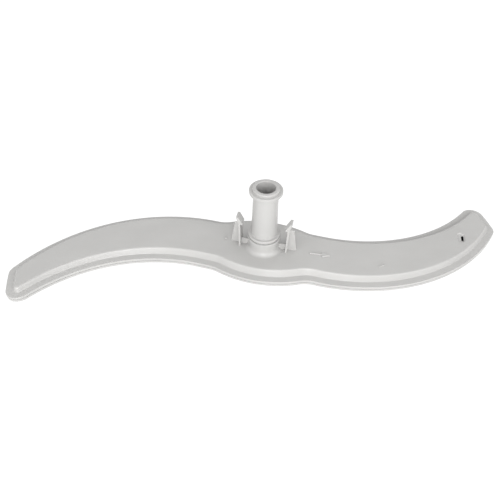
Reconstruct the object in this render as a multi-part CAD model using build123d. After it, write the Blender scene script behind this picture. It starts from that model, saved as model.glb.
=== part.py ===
from build123d import *
import os
from math import cos, degrees, radians, tan

# Spray arm of a dishwasher, lying on its nozzle side with the feed tube up.
# The tube axis is Z, and Z = 0 is the flat face of the nozzle side. The arm turned by
# half a turn about Z falls on itself, so each outline is drawn for one half only.

# Outline of the arm, seen along the tube axis
sweep_radius = 243.0
hub_half_width = 42.3
hub_edge_radius = 101.3
hub_turn = -11.0
outer_edge_radius = 173.0
outer_edge_middle = 93.0
outer_edge_bulge = 5.1
inner_edge_radius = 155.4
inner_edge_middle = 101.8
inner_edge_bay = 26.6
inner_edge_heading = 15.0
valley_radius = 28.0
tip_corner_radius = 11.5

# Shells
wall = 2.0
wall_draft = 20.0
rim_width = 7.0
flange_thickness = 2.7
panel_rise_hub = 6.6
panel_rise_tip = 4.2
panel_edge_chamfer = 1.2
nozzle_panel_depth = 5.0

# Boss on the hub
boss_radius = 14.9
boss_height = 14.0
boss_flare = 2.8
boss_rim_radius = 15.9
boss_rim_height = 2.0
boss_rim_chamfer = 0.5

# Feed tube
tube_length = 57.3
tube_radius_foot = 12.5
tube_radius_top = 11.5
foot_radius = 15.6
foot_thickness = 2.4
foot_edge_chamfer = 0.5
neck_radius = 14.0
neck_height = 1.9
spigot_radius = 11.6
spigot_length = 10.0
spigot_clearance = 0.1
bore_radius = 8.8
collar_radius = 15.4
collar_thickness = 2.9
collar_cone = 2.6
collar_edge_chamfer = 0.5
lip_radius = 12.5
lip_height = 2.4
lip_edge_chamfer = 0.8

# Snap fingers, ribs and gussets
hook_radius = 20.8
barb = 2.2
barb_height = 25.8
barb_nose = 0.6
hook_top_height = 35.0
hook_top_radius = 25.6
hook_top_width = 1.0
finger_width_foot = 12.4
finger_width_top = 8.4
finger_thickness = 1.8
finger_lean = 1.0
gusset_foot = 8.8
gusset_top = 4.0
gusset_height = 25.2
gusset_thickness = 1.5
rib_height = 6.4
rib_thickness = 1.6

# Jets: each a slot at one side of a long shallow dish with sloping walls
dish_length = 14.0
dish_width = 8.0
dish_share_of_wall = 0.6
dish_slope = 40.0
jet_length = 8.2
jet_width = 2.1
jet_offset = 1.6
drive_jet_place = (199.9, 18.9)
drive_jet_turn = 79.0
drive_jet_tilt = 25.0
nozzle_count = 3
nozzle_first = 62.0
nozzle_pitch = 50.0
nozzle_turn = 35.0

# Distance below which two points of the outline are the same
same_place = 0.01

# Depth of a dish
dish_depth = dish_share_of_wall * wall

# Heights of the stack
flange_bottom = nozzle_panel_depth
parting = flange_bottom + flange_thickness
flange_top = parting + flange_thickness
panel_top = flange_top + panel_rise_hub
boss_top = panel_top + boss_height
tube_top = boss_top + tube_length


outer_edge_centre = Vector(outer_edge_middle, outer_edge_radius - hub_half_width - outer_edge_bulge)
inner_edge_centre = Vector(inner_edge_middle, inner_edge_radius + hub_half_width - inner_edge_bay)
hub_edge_centre = Vector(0, hub_edge_radius - hub_half_width).rotate(Axis.Z, hub_turn)


def crossing(one, other, near):
    """The point where two circles, each a centre and a radius, cross nearest to a given point."""
    (centre, radius), (other_centre, other_radius) = one, other
    span = other_centre - centre
    along = (span.length**2 + radius**2 - other_radius**2) / (2 * span.length)
    aside = (radius**2 - along**2) ** 0.5
    foot = centre + span.normalized() * along
    step = span.normalized().rotate(Axis.Z, 90) * aside
    return min(foot + step, foot - step, key=lambda point: (point - near).length)


def arc(circle, start, end):
    """The shorter arc of a circle between two of its points."""
    centre, radius = circle
    middle = centre + ((start + end) / 2 - centre).normalized() * radius
    return ThreePointArc(start, middle, end)


def arm_outline(inset):
    """One arm of the S, from the tube axis to the tip, with its edges moved inwards."""
    outer = (outer_edge_centre, outer_edge_radius - inset)
    inner = (inner_edge_centre, inner_edge_radius + inset)
    sweep = (Vector(0, 0), sweep_radius - inset)
    tip_side = Vector(sweep_radius, 0)
    outer_tip = crossing(outer, sweep, tip_side)
    inner_tip = crossing(inner, sweep, tip_side)
    bend = inner_edge_centre + Vector(0, -inner_edge_radius - inset).rotate(Axis.Z, -inner_edge_heading)
    inner_root = Vector(0, bend.Y + bend.X * tan(radians(inner_edge_heading)))
    outer_root = Vector(0, outer_edge_centre.Y - (outer[1] ** 2 - outer_edge_centre.X**2) ** 0.5)
    return make_face([
        arc(outer, outer_root, outer_tip),
        arc(sweep, outer_tip, inner_tip),
        arc(inner, inner_tip, bend),
        Line(bend, inner_root),
        Line(inner_root, outer_root),
    ])


def s_outline(inset=0, corner=tip_corner_radius):
    """The S-shaped outline: two arms on a lens-shaped hub, with rounded valleys and tip corners."""
    hub_radius = hub_edge_radius - inset
    hub = Pos(hub_edge_centre) * Circle(hub_radius) & Pos(-hub_edge_centre) * Circle(hub_radius)
    arm = arm_outline(inset)
    outline = arm + Rot(Z=180) * arm + hub

    def on_hub_edge(vertex):
        reaches = [(Vector(vertex) - side * hub_edge_centre).length for side in (1, -1)]
        return min(abs(reach - hub_radius) for reach in reaches) < same_place

    def on_sweep(vertex):
        return abs(Vector(vertex).length - sweep_radius + inset) < same_place

    outline = fillet(outline.vertices().filter_by(on_hub_edge), valley_radius + inset)
    return fillet(outline.vertices().filter_by(on_sweep), corner)


def below_top(hub_height, tip_height):
    """All that lies below a panel top that falls in one long arc from the hub to the tips."""
    reach = sweep_radius
    ends = (-reach, tip_height), (reach, tip_height)
    top = ThreePointArc(ends[0], (0, hub_height), ends[1]) if hub_height > tip_height else Line(*ends)
    sides = Polyline(ends[1], (reach, -reach), (-reach, -reach), ends[0])
    return extrude(Plane.XZ * make_face([top, sides]), reach, both=True)


def drafted_block(inset, height):
    """Block on the S-shaped outline, with sides that lean in as they rise and corners that stay round."""
    lean = height * tan(radians(wall_draft))
    top_corner = max(tip_corner_radius - inset - lean, wall / 2)
    foot = s_outline(inset, top_corner + lean)
    return loft([foot, Pos(Z=height) * s_outline(inset + lean, top_corner)], ruled=True)


def shell(rise_hub, rise_tip):
    """Flange with a hollow panel raised on it, open at the parting plane Z = 0."""
    wall_across = wall / cos(radians(wall_draft))
    flange_draft = flange_thickness * tan(radians(wall_draft))
    top_hub = flange_thickness + rise_hub
    top_tip = flange_thickness + rise_tip
    panel = Pos(Z=flange_thickness) * drafted_block(rim_width, rise_hub + wall)
    panel = panel & below_top(top_hub, top_tip)
    panel = chamfer(panel.faces().sort_by(Axis.Z)[-1].edges(), panel_edge_chamfer)
    flange = extrude(s_outline(), flange_thickness)
    cavity = drafted_block(rim_width + wall_across - flange_draft, top_hub)
    return flange + panel - (cavity & below_top(top_hub - wall, top_tip - wall))


def jet_cut(place, surface, turn, tilt):
    """Dish and slot of a jet, to be cut from a panel."""
    spread = 2 * dish_depth * tan(radians(dish_slope))
    dish = extrude(SlotOverall(dish_length - spread, dish_width - spread), 2 * dish_depth, taper=-dish_slope)
    slot = Rot(X=-tilt) * extrude(SlotOverall(jet_length, jet_width), 2 * wall, both=True)
    return Pos(*place, surface - dish_depth) * Rot(Z=turn) * (dish + Pos(Y=-jet_offset) * slot)


def finger():
    """Snap finger on the +X side, with its gusset and its rib to the boss, above the panel."""
    root = -wall / 2
    inner_top = hook_radius + barb
    inner_foot = inner_top - finger_lean
    plate = make_face(Polyline(
        (inner_foot, root),
        (inner_top, barb_height),
        (hook_radius, barb_height),
        (hook_radius, barb_height + barb_nose),
        (hook_top_radius, hook_top_height),
        (hook_top_radius + hook_top_width, hook_top_height),
        (inner_top + finger_thickness, barb_height),
        (inner_foot + finger_thickness, root),
        close=True,
    ))
    gusset = make_face(Polyline(
        (inner_foot + finger_thickness / 2, root),
        (inner_foot + finger_thickness + gusset_foot, root),
        (inner_top + finger_thickness + gusset_top, gusset_height),
        (inner_top + finger_thickness / 2, gusset_height),
        close=True,
    ))
    rib = make_face(Polyline(
        (boss_radius - wall / 2, root),
        (inner_foot + finger_thickness / 2, root),
        (inner_foot + finger_thickness / 2, rib_height),
        (boss_radius - wall / 2, rib_height),
        close=True,
    ))
    side = make_face(Polyline(
        (-finger_width_foot / 2, root),
        (finger_width_foot / 2, root),
        (finger_width_top / 2, barb_height),
        (finger_width_top / 2, hook_top_height),
        (-finger_width_top / 2, hook_top_height),
        (-finger_width_top / 2, barb_height),
        close=True,
    ))
    reach = hook_radius + hook_top_radius
    return (
        (extrude(Plane.XZ * plate, finger_width_foot, both=True) & extrude(Plane.YZ * side, reach))
        + extrude(Plane.XZ * gusset, gusset_thickness / 2, both=True)
        + extrude(Plane.XZ * rib, rib_thickness / 2, both=True)
    )


def panel_height(along):
    """Height of the feed side's panel, which falls from the hub to the tips."""
    return panel_top - (panel_rise_hub - panel_rise_tip) * (along / sweep_radius) ** 2


def feed_side_shell():
    """Moulded half with the boss, the snap fingers and the drive jet."""
    body = Pos(Z=parting) * shell(panel_rise_hub, panel_rise_tip)
    upright = (Align.CENTER, Align.CENTER, Align.MIN)
    body += Pos(Z=panel_top - wall / 2) * Cylinder(boss_radius, boss_height + wall / 2, align=upright)
    curves = body.edges().filter_by(GeomType.LINE, reverse=True)
    body = chamfer(curves.sort_by_distance((boss_radius, 0, panel_top))[0], boss_flare)
    rim = Pos(Z=boss_top - boss_rim_height) * Cylinder(boss_rim_radius, boss_rim_height, align=upright)
    body += chamfer(rim.edges().group_by(Axis.Z)[-1], boss_rim_chamfer)
    for side in (0, 180):
        body += Pos(Z=panel_top) * Rot(Z=hub_turn + side) * finger()
    passage = spigot_radius + spigot_clearance
    body -= Pos(Z=parting) * Cylinder(passage, boss_top, align=upright)
    surface = panel_height(drive_jet_place[0])
    return body - jet_cut(drive_jet_place, surface, drive_jet_turn, drive_jet_tilt)


def nozzle_places():
    """Points along the middle of each arm, with the second arm's points half a pitch further out."""
    middle = (inner_edge_centre + outer_edge_centre) / 2
    radius = (inner_edge_radius + outer_edge_radius) / 2
    for side in (0, 1):
        for index in range(nozzle_count):
            run = nozzle_first + (index + side / 2) * nozzle_pitch - middle.X
            point = middle + Vector(0, -radius).rotate(Axis.Z, degrees(run / radius))
            point = point.rotate(Axis.Z, 180 * side)
            yield (point.X, point.Y), nozzle_turn * (-1) ** index


def nozzle_side_shell():
    """Moulded half with the spray nozzles, made facing up and turned over."""
    depth = nozzle_panel_depth
    body = shell(depth, depth)
    surface = flange_thickness + depth
    for place, turn in nozzle_places():
        body -= jet_cut(place, surface, turn, 0)
    return Pos(Z=parting) * mirror(body, Plane.XY)


def feed_tube():
    """Tube with its spigot, neck, foot ring, collar and lip, turned from one profile."""
    collar_top = tube_top - lip_height
    collar_bottom = collar_top - collar_thickness
    foot_bottom = boss_top + neck_height
    foot_top = foot_bottom + foot_thickness
    spigot_end = boss_top - spigot_length
    profile = make_face(Polyline(
        (spigot_radius, spigot_end),
        (spigot_radius, boss_top),
        (neck_radius, boss_top),
        (neck_radius, foot_bottom),
        (foot_radius, foot_bottom),
        (foot_radius, foot_top),
        (tube_radius_foot, foot_top),
        (tube_radius_top, collar_bottom - collar_cone),
        (collar_radius, collar_bottom),
        (collar_radius, collar_top),
        (lip_radius, collar_top),
        (lip_radius, tube_top),
        (bore_radius, tube_top),
        (bore_radius, spigot_end),
        close=True,
    ))

    def bevel(face, corner, length):
        return chamfer(face.vertices().sort_by_distance(corner)[0], length)

    profile = bevel(profile, (foot_radius, foot_bottom), foot_edge_chamfer)
    profile = bevel(profile, (foot_radius, foot_top), foot_edge_chamfer)
    profile = bevel(profile, (collar_radius, collar_bottom), collar_edge_chamfer)
    profile = bevel(profile, (collar_radius, collar_top), collar_edge_chamfer)
    profile = bevel(profile, (lip_radius, tube_top), lip_edge_chamfer)
    profile = bevel(profile, (bore_radius, tube_top), lip_edge_chamfer)
    return revolve(Plane.XZ * profile, Axis.Z)


os.makedirs("parts", exist_ok=True)
export_step(feed_side_shell(), "parts/feed_side_shell.step")
export_step(nozzle_side_shell(), "parts/nozzle_side_shell.step")
export_step(feed_tube(), "parts/feed_tube.step")
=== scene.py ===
from math import atan2, ceil, cos, pi, radians, sin, sqrt, tan
import bmesh
import bpy
from mathutils import Matrix, Vector
from mathutils.geometry import delaunay_2d_cdt


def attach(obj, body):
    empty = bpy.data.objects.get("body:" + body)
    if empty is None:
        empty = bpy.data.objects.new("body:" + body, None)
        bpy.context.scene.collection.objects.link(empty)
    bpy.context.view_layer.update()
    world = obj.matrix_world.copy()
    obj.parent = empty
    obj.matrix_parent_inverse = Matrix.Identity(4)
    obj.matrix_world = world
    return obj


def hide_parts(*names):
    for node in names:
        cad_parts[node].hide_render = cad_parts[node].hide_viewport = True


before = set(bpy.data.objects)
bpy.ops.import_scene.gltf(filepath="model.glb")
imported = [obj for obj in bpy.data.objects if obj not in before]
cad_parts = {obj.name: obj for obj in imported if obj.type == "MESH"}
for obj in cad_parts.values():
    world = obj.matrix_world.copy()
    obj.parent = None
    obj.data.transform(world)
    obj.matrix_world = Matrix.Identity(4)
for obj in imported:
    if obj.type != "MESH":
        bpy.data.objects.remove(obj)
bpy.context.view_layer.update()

# The arm's main sizes in millimetres, as the solids have them. Z = 0 is the flat face of the
# nozzle side, and the tube's axis is Z.
SWEEP = 243.0
HUB_HALF, HUB_R, HUB_TURN = 42.3, 101.3, -11.0
OUTER_R, OUTER_X, OUTER_BULGE = 173.0, 93.0, 5.1
INNER_R, INNER_X, INNER_BAY, INNER_HEADING = 155.4, 101.8, 26.6, 15.0
VALLEY_R, TIP_R = 28.0, 11.5
WALL, DRAFT, RIM, FLANGE = 2.0, 20.0, 7.0, 2.7
RISE_HUB, RISE_TIP, DEPTH = 6.6, 4.2, 5.0
BOSS_R, BOSS_H, BOSS_FILLET = 14.9, 14.0, 4.5
BOSS_RIM_R, BOSS_RIM_H = 15.9, 2.0
TUBE_L, TUBE_FOOT, TUBE_TOP = 57.3, 12.5, 11.5
FOOT_R, FOOT_T, NECK_R, NECK_H = 15.6, 2.4, 14.0, 1.9
SPIGOT_R, SPIGOT_L, BORE = 11.6, 10.0, 8.8
COLLAR_R, COLLAR_T, COLLAR_CONE, LIP_R, LIP_H = 15.4, 2.9, 2.6, 12.5, 2.4
DISH_L, DISH_W, DISH_D, DISH_SLOPE = 14.0, 8.0, 1.2, 40.0
JET_L, JET_W, JET_OFFSET = 8.2, 2.1, 1.6
DRIVE_JET, DRIVE_TURN, DRIVE_TILT = (199.9, 18.9), 79.0, 25.0
NOZZLES, NOZZLE_FIRST, NOZZLE_PITCH, NOZZLE_TURN = 3, 62.0, 50.0, 35.0

PARTING = DEPTH + FLANGE
FLANGE_TOP = PARTING + FLANGE
PANEL_TOP = FLANGE_TOP + RISE_HUB
BOSS_TOP = PANEL_TOP + BOSS_H
MOUTH = BOSS_TOP + TUBE_L
LEAN = tan(radians(DRAFT))

# Small radii that the moulding has, on the shells, the boss and the tube from its spigot to its mouth
EDGE_R, SEAM_R, FOOT_FILLET, PANEL_R = 0.5, 0.15, 1.2, 2.0
BOSS_STEP_R, BOSS_EDGE_R, SOCKET_EDGE_R = 0.3, 0.6, 0.4
SPIGOT_EDGE_R, NECK_FILLET, FOOT_UNDER_R, FOOT_EDGE_R, TUBE_FILLET = 0.4, 0.2, 0.5, 0.7, 0.8
CONE_FILLET, COLLAR_EDGE_R, LIP_FILLET, LIP_EDGE_R, MOUTH_EDGE_R = 2.0, 0.7, 0.3, 1.0, 0.8

# Half of the groove that the weld leaves between the two flanges
SEAM_DEPTH, SEAM_HALF = 1.2, 0.22

# Play round the spigot, and the cavity's draft as a share of the outer wall's
SPIGOT_PLAY, CAVITY_DRAFT = 0.1, 0.8

# Rounding of a dish: how much each loop is larger than the dish or its floor, and how far below
# the panel or above the floor it lies
DISH_EDGE = (0.7, 0.0), (0.1, 0.1), (-0.5, 0.36)
DISH_FOOT = (0.36, 0.21), (0.0, 0.04), (-0.18, 0.0)
SLOT_EDGE, SLOT_ENDS = 0.2, 8

# Softened edges of the plates: the least angle and the steps of a bevel, and the least edge kept
BEVEL_ANGLE, BEVEL_STEPS, MERGE = radians(20), 3, 0.001

# Spacing of the points in flat faces: in a dish, on a panel and inside the arm
DISH_PITCH, PANEL_PITCH, HOLLOW_PITCH = 1.6, 5.0, 9.0


# Outline: points with their inward normals, so that an inset loop is point + inset * normal

def turned(point, angle):
    return Matrix.Rotation(radians(angle), 2) @ Vector(point)


def crossing(c, r, c2, r2, near):
    """Where two circles cross, nearest to a point."""
    span = c2 - c
    along = (span.length_squared + r * r - r2 * r2) / (2 * span.length)
    unit = span.normalized()
    aside = Vector((-unit.y, unit.x)) * sqrt(r * r - along * along)
    return min((c + unit * along + aside, c + unit * along - aside), key=lambda p: (p - near).length)


OUTER = Vector((OUTER_X, OUTER_R - HUB_HALF - OUTER_BULGE))
INNER = Vector((INNER_X, INNER_R + HUB_HALF - INNER_BAY))


def outline(step=3.0, least=12):
    origin = Vector((0, 0))
    hub = turned((0, HUB_R - HUB_HALF), HUB_TURN)
    tip = Vector((SWEEP, 0))
    valley = Vector((50, -70))
    front = crossing(hub, HUB_R + VALLEY_R, OUTER, OUTER_R + VALLEY_R, valley)
    corner = crossing(OUTER, OUTER_R - TIP_R, origin, SWEEP - TIP_R, tip)
    corner2 = crossing(INNER, INNER_R + TIP_R, origin, SWEEP - TIP_R, tip)
    bend = INNER + turned((0, -INNER_R), -INNER_HEADING)
    out = turned((0, 1), -INNER_HEADING)
    run = Vector((-out.y, out.x))
    start = bend + out * VALLEY_R + hub
    half = start.dot(run)
    reach = -half - sqrt(half * half - start.length_squared + (HUB_R + VALLEY_R) ** 2)
    back = bend + out * VALLEY_R + run * reach

    def toward(centre, radius, point):
        return centre + (point - centre).normalized() * radius

    hub_back = toward(-hub, HUB_R, back)
    legs = [
        (hub, HUB_R, -hub_back, toward(hub, HUB_R, front), 1),
        (front, VALLEY_R, toward(hub, HUB_R, front), toward(OUTER, OUTER_R, front), -1),
        (OUTER, OUTER_R, toward(OUTER, OUTER_R, front), toward(OUTER, OUTER_R, corner), 1),
        (corner, TIP_R, toward(OUTER, OUTER_R, corner), toward(origin, SWEEP, corner), 1),
        (origin, SWEEP, toward(origin, SWEEP, corner), toward(origin, SWEEP, corner2), 1),
        (corner2, TIP_R, toward(origin, SWEEP, corner2), toward(INNER, INNER_R, corner2), 1),
        (INNER, INNER_R, toward(INNER, INNER_R, corner2), bend, -1),
        None,
        (back, VALLEY_R, back - out * VALLEY_R, hub_back, -1),
    ]
    points = []
    for leg in legs:
        if leg is None:
            end = back - out * VALLEY_R
            count = max(2, ceil((end - bend).length / step))
            points += [(bend.lerp(end, i / count), -out) for i in range(count)]
            continue
        centre, radius, a, b, bent = leg
        first = atan2(a.y - centre.y, a.x - centre.x)
        sweep = (atan2(b.y - centre.y, b.x - centre.x) - first) % (2 * pi)
        if bent < 0:
            sweep -= 2 * pi
        count = max(least, ceil(abs(sweep) * radius / step))
        for i in range(count):
            angle = first + sweep * i / count
            ray = Vector((cos(angle), sin(angle)))
            points.append((centre + ray * radius, -ray * bent))
    return points + [(-p, -n) for p, n in points]


OUTLINE = outline()


def crown(x):
    """Height of the feed side's panel at a place along the arm."""
    return PANEL_TOP - (RISE_HUB - RISE_TIP) * (x / SWEEP) ** 2


# Meshes from loops of points, in millimetres

PER_METRE = 1000
CDT_MERGE = 1e-5


class Maker:
    def __init__(self):
        self.verts, self.faces = [], []

    def ring(self, points):
        first = len(self.verts)
        self.verts += [Vector(p) for p in points]
        return list(range(first, len(self.verts)))

    def strip(self, a, b):
        count = len(a)
        self.faces += [(a[i], a[(i + 1) % count], b[(i + 1) % count], b[i]) for i in range(count)]

    def strips(self, loops):
        rings = [self.ring(loop) for loop in loops]
        for a, b in zip(rings, rings[1:]):
            self.strip(a, b)
        return rings

    def cap(self, outer, holes, height, pitch=PANEL_PITCH):
        """Fills a loop, less some holes, with triangles of even size."""
        row_step, clearance = 0.866 * pitch, 0.6 * pitch
        rings = [outer, *holes]
        known = [index for ring in rings for index in ring]
        flat = [self.verts[i].xy for i in known]
        shapes, edges, base = [], [], 0
        for ring in rings:
            count = len(ring)
            edges += [(base + i, base + (i + 1) % count) for i in range(count)]
            shapes.append([self.verts[i].xy for i in ring])
            base += count
        low = Vector((min(p.x for p in shapes[0]), min(p.y for p in shapes[0])))
        high = Vector((max(p.x for p in shapes[0]), max(p.y for p in shapes[0])))
        cells = {}
        for p in flat:
            cells.setdefault((int(p.x // pitch), int(p.y // pitch)), []).append(p)

        def clear(p):
            i, j = int(p.x // pitch), int(p.y // pitch)
            near = [q for a in (-1, 0, 1) for b in (-1, 0, 1) for q in cells.get((i + a, j + b), ())]
            return all((p - q).length > clearance for q in near)

        extra = []
        for row in range(int((high.y - low.y) / row_step) + 1):
            for column in range(int((high.x - low.x) / pitch) + 1):
                p = Vector((low.x + (column + row % 2 / 2) * pitch, low.y + row * row_step))
                if inside(p, shapes[0]) and not any(inside(p, s) for s in shapes[1:]) and clear(p):
                    extra.append(p)
        known += self.ring([(p.x, p.y, height(p.x)) for p in extra])
        points, _, faces, sources, _, _ = delaunay_2d_cdt(flat + extra, edges, [], 0, CDT_MERGE)
        for face in faces:
            middle = sum((points[i] for i in face), Vector((0, 0))) / 3
            if inside(middle, shapes[0]) and not any(inside(middle, s) for s in shapes[1:]):
                self.faces.append(tuple(known[sources[i][0]] for i in face))

    def add(self, other, matrix):
        base = len(self.verts)
        self.verts += [matrix @ v.co for v in other.verts]
        self.faces += [tuple(base + v.index for v in f.verts) for f in other.faces]

    def finish(self, name, material):
        mesh = bpy.data.meshes.new(name)
        mesh.from_pydata([v / PER_METRE for v in self.verts], [], self.faces)
        work = bmesh.new()
        work.from_mesh(mesh)
        bmesh.ops.recalc_face_normals(work, faces=work.faces)
        work.to_mesh(mesh)
        work.free()
        mesh.shade_smooth()
        even_normals(mesh)
        mesh.materials.append(material)
        piece = bpy.data.objects.new(name, mesh)
        bpy.context.collection.objects.link(piece)
        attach(piece, "root")
        return piece


def even_normals(mesh, smooth=cos(radians(38))):
    """Weighs each corner's normal by area, so that flat faces stay flat beside small radii."""
    around = [[] for _ in mesh.vertices]
    for face in mesh.polygons:
        for index in face.vertices:
            around[index].append((face.normal.copy(), face.area))
    normals = []
    for face in mesh.polygons:
        for index in face.vertices:
            near = [normal * area for normal, area in around[index] if normal.dot(face.normal) > smooth]
            normals.append(sum(near, Vector((0, 0, 0))).normalized())
    mesh.normals_split_custom_set(normals)


def inside(p, shape):
    hit = False
    q = shape[-1]
    for r in shape:
        if (r.y > p.y) != (q.y > p.y) and p.x < (q.x - r.x) * (p.y - r.y) / (q.y - r.y) + r.x:
            hit = not hit
        q = r
    return hit


def rounded(corners, closed=True, turn=radians(12)):
    """A line through (a, b, radius) corners, each drawn as an arc of its radius."""
    line = []
    count = len(corners)
    for i, (a, b, radius) in enumerate(corners):
        here = Vector((a, b))
        if radius == 0 or (not closed and i in (0, count - 1)):
            line.append(here)
            continue
        before = (Vector(corners[i - 1][:2]) - here).normalized()
        after = (Vector(corners[(i + 1) % count][:2]) - here).normalized()
        open_angle = before.angle(after)
        leg = radius / tan(open_angle / 2)
        centre = here + (before + after).normalized() * (radius / sin(open_angle / 2))
        start, end = here + before * leg - centre, here + after * leg - centre
        sweep = start.angle_signed(end)
        steps = max(2, ceil(abs(sweep) / turn))
        for k in range(steps + 1):
            line.append(centre + Matrix.Rotation(-sweep * k / steps, 2) @ start)
    return line


def circle(radius, height, count=120):
    """Loop about the tube's axis: height is a number, or a rule of the place along the arm."""
    rule = height if callable(height) else lambda x: height
    angles = [2 * pi * i / count for i in range(count)]
    return [(radius * cos(a), radius * sin(a), rule(radius * cos(a))) for a in angles]


def stadium(place, turn, length, width, height, shift=0.0, ends=12):
    """Loop of a long hole with round ends, turned and shifted sideways about a place."""
    r = width / 2
    half = length / 2 - r
    local = [(half + r * sin(pi * i / ends), -r * cos(pi * i / ends)) for i in range(ends + 1)]
    points = local + [(-x, -y) for x, y in local]
    rule = height if callable(height) else lambda x: height
    loop = []
    for x, y in points:
        p = turned((x, y + shift), turn)
        loop.append((place[0] + p.x, place[1] + p.y, rule(place[0] + p.x)))
    return loop


def inset_loop(section):
    """Loop along the outline, from a rule that gives inset and height at a place along the arm."""
    loop = []
    for p, n in OUTLINE:
        inset, height = section(p.x)
        inset, height = section(p.x + inset * n.x)
        loop.append((p.x + inset * n.x, p.y + inset * n.y, height))
    return loop


def shell_line(rise):
    """Section of a shell's outer face, from the seam to the panel, as inset and height."""
    edge = RIM + (rise - FLANGE) * LEAN
    return rounded([
        (SEAM_DEPTH, 0, 0),
        (SEAM_DEPTH, SEAM_HALF, 0),
        (0, SEAM_HALF, SEAM_R),
        (0, FLANGE, EDGE_R),
        (RIM, FLANGE, FOOT_FILLET),
        (edge, rise, PANEL_R),
        (edge + 2 * PANEL_R, rise, 0),
    ], closed=False)


def shell_sections(top):
    """Rules for the outer face of a shell, from the parting plane to the panel, heights upwards."""
    def at(index):
        def rule(x):
            return tuple(shell_line(top(x))[index])
        return rule

    return [at(i) for i in range(len(shell_line(FLANGE + RISE_HUB)) - 1)]


def shell_loops(maker, rule, up):
    """Outer loops of one shell. up is 1 for the feed side and -1 for the nozzle side."""
    def placed(section):
        def there(x):
            inset, height = section(x)
            return inset, PARTING + up * height
        return there

    return maker.strips([inset_loop(placed(s)) for s in shell_sections(rule)])


def cavity_loops(maker, rule, up):
    """Inner loops of one shell, from the parting plane to the underside of its panel."""
    foot = RIM + WALL / cos(radians(DRAFT)) - FLANGE * LEAN

    def at(share):
        def there(x):
            height = (rule(x) - WALL) * share
            return foot + CAVITY_DRAFT * height * LEAN, PARTING + up * height
        return there

    return maker.strips([inset_loop(at(s)) for s in (0, 0.5, 1)])


def jet(maker, place, turn, tilt, surface, up):
    """Dish and slot. Returns the rim on the panel and the slot's end under it."""
    middle = surface(place[0])
    lean = tan(radians(tilt))
    spread = 2 * DISH_D * tan(radians(DISH_SLOPE))
    floor = middle - up * DISH_D
    under = middle - up * WALL
    loops = []
    for grow, drop in DISH_EDGE:
        loops.append(stadium(place, turn, DISH_L + grow, DISH_W + grow, lambda x: surface(x) - up * drop))
    for grow, rise in DISH_FOOT:
        length, width = DISH_L - spread + grow, DISH_W - spread + grow
        loops.append(stadium(place, turn, length, width, floor + up * rise))
    rings = maker.strips(loops)
    wide = JET_W / cos(radians(tilt))
    soft = SLOT_EDGE / 2
    slots = maker.strips([
        stadium(place, turn, JET_L + SLOT_EDGE, wide + SLOT_EDGE, floor, -JET_OFFSET, SLOT_ENDS),
        stadium(place, turn, JET_L, wide, floor - up * soft, -JET_OFFSET - lean * soft, SLOT_ENDS),
        stadium(place, turn, JET_L, wide, under, -JET_OFFSET - lean * (WALL - DISH_D), SLOT_ENDS),
    ])
    maker.cap(rings[-1], [slots[0]], lambda x: floor, pitch=DISH_PITCH)
    return rings[0], slots[-1]


def prism(corners, half, soft=0.35):
    """Plate on an XZ outline with softened edges. half gives its half thickness at a height."""
    work = bmesh.new()
    near = [work.verts.new((x, -half(z), z)) for x, z in corners]
    far = [work.verts.new((x, half(z), z)) for x, z in corners]
    count = len(corners)
    work.faces.new(near)
    work.faces.new(far[::-1])
    for i in range(count):
        j = (i + 1) % count
        work.faces.new((near[j], near[i], far[i], far[j]))
    bmesh.ops.recalc_face_normals(work, faces=work.faces)
    sharp = [edge for edge in work.edges if edge.calc_face_angle() > BEVEL_ANGLE]
    bmesh.ops.bevel(
        work, geom=sharp, offset=soft, segments=BEVEL_STEPS, profile=0.5, affect="EDGES", clamp_overlap=True)
    bmesh.ops.remove_doubles(work, verts=work.verts, dist=MERGE)
    work.verts.index_update()
    return work


def finger_plates():
    """Snap finger, its hooked head, its gusset and its rib, on the +X side and above the panel.

    The head and the rib follow the photograph and are at most 1 mm off the solids.
    """
    root, thick, lean = -WALL / 2, 2.0, 1.0
    foot_half, neck_half = 6.2, 4.2
    hook, barb, hook_height, nose = 20.5, 2.3, 25.8, 0.6
    ridge_in, ridge_out, ridge_height, head_half = 24.6, 26.9, 34.3, 4.4
    gusset_foot, gusset_top, gusset_height, gusset_half = 8.8, 4.0, 25.2, 0.75
    rib_height, rib_foot, rib_top = 5.8, 1.7, 0.9
    edge, rib_edge = 0.28, 0.4
    sunk = 1.0
    neck = hook + barb
    foot = neck - lean
    plate = [
        (foot, root), (neck, hook_height + sunk), (neck + thick, hook_height + sunk), (foot + thick, root),
    ]
    head = [
        (hook, hook_height), (hook, hook_height + nose), (ridge_in, ridge_height),
        (ridge_out, ridge_height), (neck + thick, hook_height),
    ]
    gusset = [
        (foot + thick / 2, root), (foot + thick + gusset_foot, root),
        (neck + thick + gusset_top, gusset_height), (neck + thick / 2, gusset_height),
    ]
    rib = [
        (BOSS_R - sunk, root), (foot + thick / 2, root),
        (foot + thick / 2, rib_height), (BOSS_R - sunk, rib_height),
    ]

    def plate_half(z):
        return foot_half - (foot_half - neck_half) * min(1.0, (z - root) / (hook_height - root))

    def rib_half(z):
        return rib_foot - (rib_foot - rib_top) * z / rib_height

    return [
        prism(plate, plate_half, edge),
        prism(head, lambda z: head_half, edge),
        prism(gusset, lambda z: gusset_half),
        prism(rib, rib_half, rib_edge),
    ]


def arrow():
    """Outline of the raised arrow that shows which way the arm turns."""
    length, head, half, wing = 19.5, 8.0, 1.1, 3.6
    neck = length - head
    return [(0, -half), (neck, -half), (neck, -wing), (length, 0), (neck, wing), (neck, half), (0, half)]


def pip(length, width):
    """Outline of a small raised mark with cut corners."""
    x, y, cut = length / 2, width / 2, width / 4
    side = [(x - cut, -y), (x, cut - y), (x, y - cut), (x - cut, y)]
    return side + [(-a, -b) for a, b in side]


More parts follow.
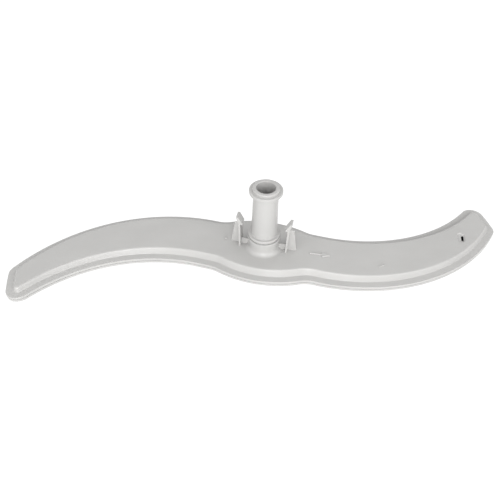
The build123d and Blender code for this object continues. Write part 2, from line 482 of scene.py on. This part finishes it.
def on_panel(x, y, turn):
    """Lays an outline flat on the feed side's panel."""
    flat = Matrix.Rotation(radians(turn), 4, "Z") @ Matrix.Rotation(radians(90), 4, "X")
    return Matrix.Translation((x, y, crown(x))) @ flat


# Raised marks: outline, relief, edge radius, and place and turn on the panel
MARKS = (
    (arrow(), 0.9, 0.5, (45.0, -9.8, HUB_TURN)),
    (pip(2.8, 2.8), 1.1, 0.7, (-37.7, 8.2, 0)),
    (pip(6.0, 2.0), 0.8, 0.5, (112.0, -24.8, 27)),
)


# Plastics: each noise's scale per metre, detail and stretch, then the tones and the gloss

CLOUDS = 26, 4, (1, 1.6, 1)
FLOW = 60, 3, (0.25, 1.5, 1)
SPECKS, SHEEN, GRAIN = (1500, 2), (110, 5), (2600, 3)
CLOUD_SPREAD = 0.028
FLOW_DARK, SPECK_DARK, CLEAR = (0.985, 0.985, 0.985), (0.975, 0.975, 0.972), (1, 1, 1)
RAMP_START, RAMP_END = 0.3, 0.7
ROUGH_LOW, ROUGH_HIGH = 0.27, 0.4
GRAIN_DEPTH = 0.00006


def plastic(name, tone, warm, grain):
    """Moulded polypropylene: pale grey with faint clouds and flow marks, fine grain and satin gloss."""
    material = bpy.data.materials.new(name)
    material.use_nodes = True
    nodes, links = material.node_tree.nodes, material.node_tree.links
    shader = nodes["Principled BSDF"]
    shader.inputs["IOR"].default_value = 1.49
    shader.inputs["Specular IOR Level"].default_value = 0.5
    shader.inputs["Subsurface Weight"].default_value = 0.06
    shader.inputs["Subsurface Radius"].default_value = (0.0022, 0.0021, 0.0019)
    shader.inputs["Subsurface Scale"].default_value = 1.0
    place = nodes.new("ShaderNodeTexCoord")

    def noise(scale, detail, stretch=(1, 1, 1)):
        mapping = nodes.new("ShaderNodeMapping")
        mapping.inputs["Scale"].default_value = stretch
        links.new(place.outputs["Object"], mapping.inputs["Vector"])
        texture = nodes.new("ShaderNodeTexNoise")
        texture.inputs["Scale"].default_value = scale
        texture.inputs["Detail"].default_value = detail
        links.new(mapping.outputs["Vector"], texture.inputs["Vector"])
        return texture.outputs["Fac"]

    def ramp(source, low, high):
        node = nodes.new("ShaderNodeValToRGB")
        node.color_ramp.elements[0].position = RAMP_START
        node.color_ramp.elements[1].position = RAMP_END
        node.color_ramp.elements[0].color = (*low, 1)
        node.color_ramp.elements[1].color = (*high, 1)
        links.new(source, node.inputs["Fac"])
        return node.outputs["Color"]

    def shade(level):
        return tuple(level * w for w in warm)

    clouds = ramp(noise(*CLOUDS), shade(tone * (1 - CLOUD_SPREAD)), shade(tone * (1 + CLOUD_SPREAD)))
    flow = ramp(noise(*FLOW), FLOW_DARK, CLEAR)
    specks = ramp(noise(*SPECKS), SPECK_DARK, CLEAR)
    colour = clouds
    for layer in (flow, specks):
        mix = nodes.new("ShaderNodeMix")
        mix.data_type = "RGBA"
        mix.blend_type = "MULTIPLY"
        mix.inputs["Factor"].default_value = 1
        links.new(colour, mix.inputs["A"])
        links.new(layer, mix.inputs["B"])
        colour = mix.outputs["Result"]
    links.new(colour, shader.inputs["Base Color"])

    gloss = nodes.new("ShaderNodeMapRange")
    gloss.inputs["To Min"].default_value = ROUGH_LOW
    gloss.inputs["To Max"].default_value = ROUGH_HIGH
    links.new(noise(*SHEEN), gloss.inputs["Value"])
    links.new(gloss.outputs["Result"], shader.inputs["Roughness"])

    bump = nodes.new("ShaderNodeBump")
    bump.inputs["Strength"].default_value = grain
    bump.inputs["Distance"].default_value = GRAIN_DEPTH
    links.new(noise(*GRAIN), bump.inputs["Height"])
    links.new(bump.outputs["Normal"], shader.inputs["Normal"])
    return material


WARM = (1.0, 0.99, 0.97)
arm_plastic = plastic("arm_plastic", tone=0.45, warm=WARM, grain=0.35)
tube_plastic = plastic("tube_plastic", tone=0.445, warm=WARM, grain=0.2)


# Feed side

def rise_feed(x):
    return crown(x) - PARTING


def rise_nozzle(x):
    return FLANGE + DEPTH


feed = Maker()
skin = shell_loops(feed, rise_feed, 1)
hollow = cavity_loops(feed, rise_feed, 1)
feed.strip(skin[0], hollow[0])
passage = SPIGOT_R + SPIGOT_PLAY
boss_line = rounded([
    (BOSS_R + 2 * BOSS_FILLET, PANEL_TOP, 0),
    (BOSS_R, PANEL_TOP, BOSS_FILLET),
    (BOSS_R, BOSS_TOP - BOSS_RIM_H, BOSS_STEP_R),
    (BOSS_RIM_R, BOSS_TOP - BOSS_RIM_H, BOSS_STEP_R),
    (BOSS_RIM_R, BOSS_TOP, BOSS_EDGE_R),
    (passage, BOSS_TOP, SOCKET_EDGE_R),
    (passage, PARTING, 0),
], closed=False)[1:-1]
boss = feed.strips([circle(boss_line[0].x, crown), *[circle(p.x, p.y) for p in boss_line[1:]]])
mouth = feed.ring(circle(passage, lambda x: crown(x) - WALL))
feed.strip(boss[-1], mouth)
rim, slot_end = jet(feed, DRIVE_JET, DRIVE_TURN, DRIVE_TILT, crown, 1)
feed.cap(skin[-1], [boss[0], rim], crown)
feed.cap(hollow[-1], [mouth, slot_end], lambda x: crown(x) - WALL, pitch=HOLLOW_PITCH)
for shape, relief, soft, place in MARKS:
    feed.add(prism(shape, lambda z: relief, soft), on_panel(*place))
for side in (0, 180):
    matrix = Matrix.Translation((0, 0, PANEL_TOP)) @ Matrix.Rotation(radians(HUB_TURN + side), 4, "Z")
    for plate in finger_plates():
        feed.add(plate, matrix)
feed_shell = feed.finish("feed_shell_visual", arm_plastic)
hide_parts("feed_side_shell")


# Nozzle side

nozzle = Maker()
skin = shell_loops(nozzle, rise_nozzle, -1)
hollow = cavity_loops(nozzle, rise_nozzle, -1)
nozzle.strip(skin[0], hollow[0])
rims, ends = [], []
middle = (INNER + OUTER) / 2
middle_r = (INNER_R + OUTER_R) / 2
for side in (0, 1):
    for index in range(NOZZLES):
        run = NOZZLE_FIRST + (index + side / 2) * NOZZLE_PITCH - middle.x
        point = middle + turned((0, -middle_r), run / middle_r * 180 / pi)
        point = turned(point, 180 * side)
        rim, end = jet(nozzle, point, NOZZLE_TURN * (-1) ** index, 0, lambda x: 0.0, -1)
        rims.append(rim)
        ends.append(end)
nozzle.cap(skin[-1], rims, lambda x: 0.0)
nozzle.cap(hollow[-1], ends, lambda x: WALL, pitch=HOLLOW_PITCH)
nozzle_shell = nozzle.finish("nozzle_shell_visual", arm_plastic)
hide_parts("nozzle_side_shell")


# Feed tube

TUBE_POINTS = 144
tube = Maker()
collar_top = MOUTH - LIP_H
collar_bottom = collar_top - COLLAR_T
foot_bottom = BOSS_TOP + NECK_H
foot_top = foot_bottom + FOOT_T
profile = rounded([
    (SPIGOT_R, BOSS_TOP - SPIGOT_L, SPIGOT_EDGE_R),
    (SPIGOT_R, BOSS_TOP, 0),
    (NECK_R, BOSS_TOP, 0),
    (NECK_R, foot_bottom, NECK_FILLET),
    (FOOT_R, foot_bottom, FOOT_UNDER_R),
    (FOOT_R, foot_top, FOOT_EDGE_R),
    (TUBE_FOOT, foot_top, TUBE_FILLET),
    (TUBE_TOP, collar_bottom - COLLAR_CONE, CONE_FILLET),
    (COLLAR_R, collar_bottom, COLLAR_EDGE_R),
    (COLLAR_R, collar_top, COLLAR_EDGE_R),
    (LIP_R, collar_top, LIP_FILLET),
    (LIP_R, MOUTH, LIP_EDGE_R),
    (BORE, MOUTH, MOUTH_EDGE_R),
    (BORE, BOSS_TOP - SPIGOT_L, SPIGOT_EDGE_R),
])
loops = tube.strips([circle(p.x, p.y, TUBE_POINTS) for p in profile])
tube.strip(loops[-1], loops[0])
feed_tube = tube.finish("feed_tube_visual", tube_plastic)
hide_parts("feed_tube")


# Floor, light and camera, in metres and degrees

FLOOR_HALF, FLOOR_DROP = 4, 0.0002
LAMP_SIZE, LAMP_DISTANCE, LAMP_AIM = 1.0, 2.0, Vector((0, 0, 0.02))
IMAGE_PX, FOCAL_PX, SENSOR = 500, 528.98, 36
CAMERA_TILT, CAMERA_ROLL, CAMERA_PLACE = 44.46, 1.24, (-0.01327, -0.37523, 0.37785)

floor_mesh = bpy.data.meshes.new("floor")
floor_corners = [(x * FLOOR_HALF, y * FLOOR_HALF, 0) for x, y in ((-1, -1), (1, -1), (1, 1), (-1, 1))]
floor_mesh.from_pydata(floor_corners, [], [(0, 1, 2, 3)])
floor = bpy.data.objects.new("floor", floor_mesh)
bpy.context.collection.objects.link(floor)
floor.location.z = -FLOOR_DROP
paper = bpy.data.materials.new("paper")
paper.use_nodes = True
surface = paper.node_tree.nodes["Principled BSDF"]
surface.inputs["Base Color"].default_value = (0.08, 0.08, 0.08, 1)
surface.inputs["Roughness"].default_value = 0.9
surface.inputs["Specular IOR Level"].default_value = 0.1
surface.inputs["Emission Color"].default_value = (1, 1, 1, 1)
surface.inputs["Emission Strength"].default_value = 1.0
floor_mesh.materials.append(paper)

world = bpy.data.worlds.new("studio")
bpy.context.scene.world = world
world.use_nodes = True
world.node_tree.nodes["Background"].inputs["Color"].default_value = (1, 1, 1, 1)
world.node_tree.nodes["Background"].inputs["Strength"].default_value = 0.84


def lamp(name, turn, height, power):
    """Round soft box aimed at the hub, turned from the front and raised by angles."""
    light = bpy.data.lights.new(name, "AREA")
    light.shape = "DISK"
    light.size = LAMP_SIZE
    light.energy = power
    turn, height = radians(turn), radians(height)
    ray = Vector((cos(height) * sin(turn), -cos(height) * cos(turn), sin(height)))
    lamp_object = bpy.data.objects.new(name, light)
    lamp_object.location = ray * LAMP_DISTANCE + LAMP_AIM
    lamp_object.rotation_euler = (-ray).to_track_quat("-Z", "Y").to_euler()
    bpy.context.collection.objects.link(lamp_object)


lamp("front_low", 0, 15, 16)
lamp("front", 0, 35, 10.6)
lamp("front_left", -45, 30, 4.2)
lamp("front_right", 48, 30, 7.2)

camera = bpy.data.cameras.new("camera")
camera.sensor_width = SENSOR
camera.lens = SENSOR * FOCAL_PX / IMAGE_PX
camera.clip_start = 0.01
camera_object = bpy.data.objects.new("camera", camera)
tilt, roll = radians(CAMERA_TILT), radians(CAMERA_ROLL)
forward = Vector((0, cos(tilt), -sin(tilt)))
right = Vector((cos(roll), sin(roll) * sin(tilt), sin(roll) * cos(tilt)))
up = right.cross(forward)
camera_object.matrix_world = Matrix((
    (right.x, up.x, -forward.x, CAMERA_PLACE[0]),
    (right.y, up.y, -forward.y, CAMERA_PLACE[1]),
    (right.z, up.z, -forward.z, CAMERA_PLACE[2]),
    (0, 0, 0, 1),
))
bpy.context.collection.objects.link(camera_object)
bpy.context.scene.camera = camera_object
bpy.context.scene.view_settings.view_transform = "Standard"
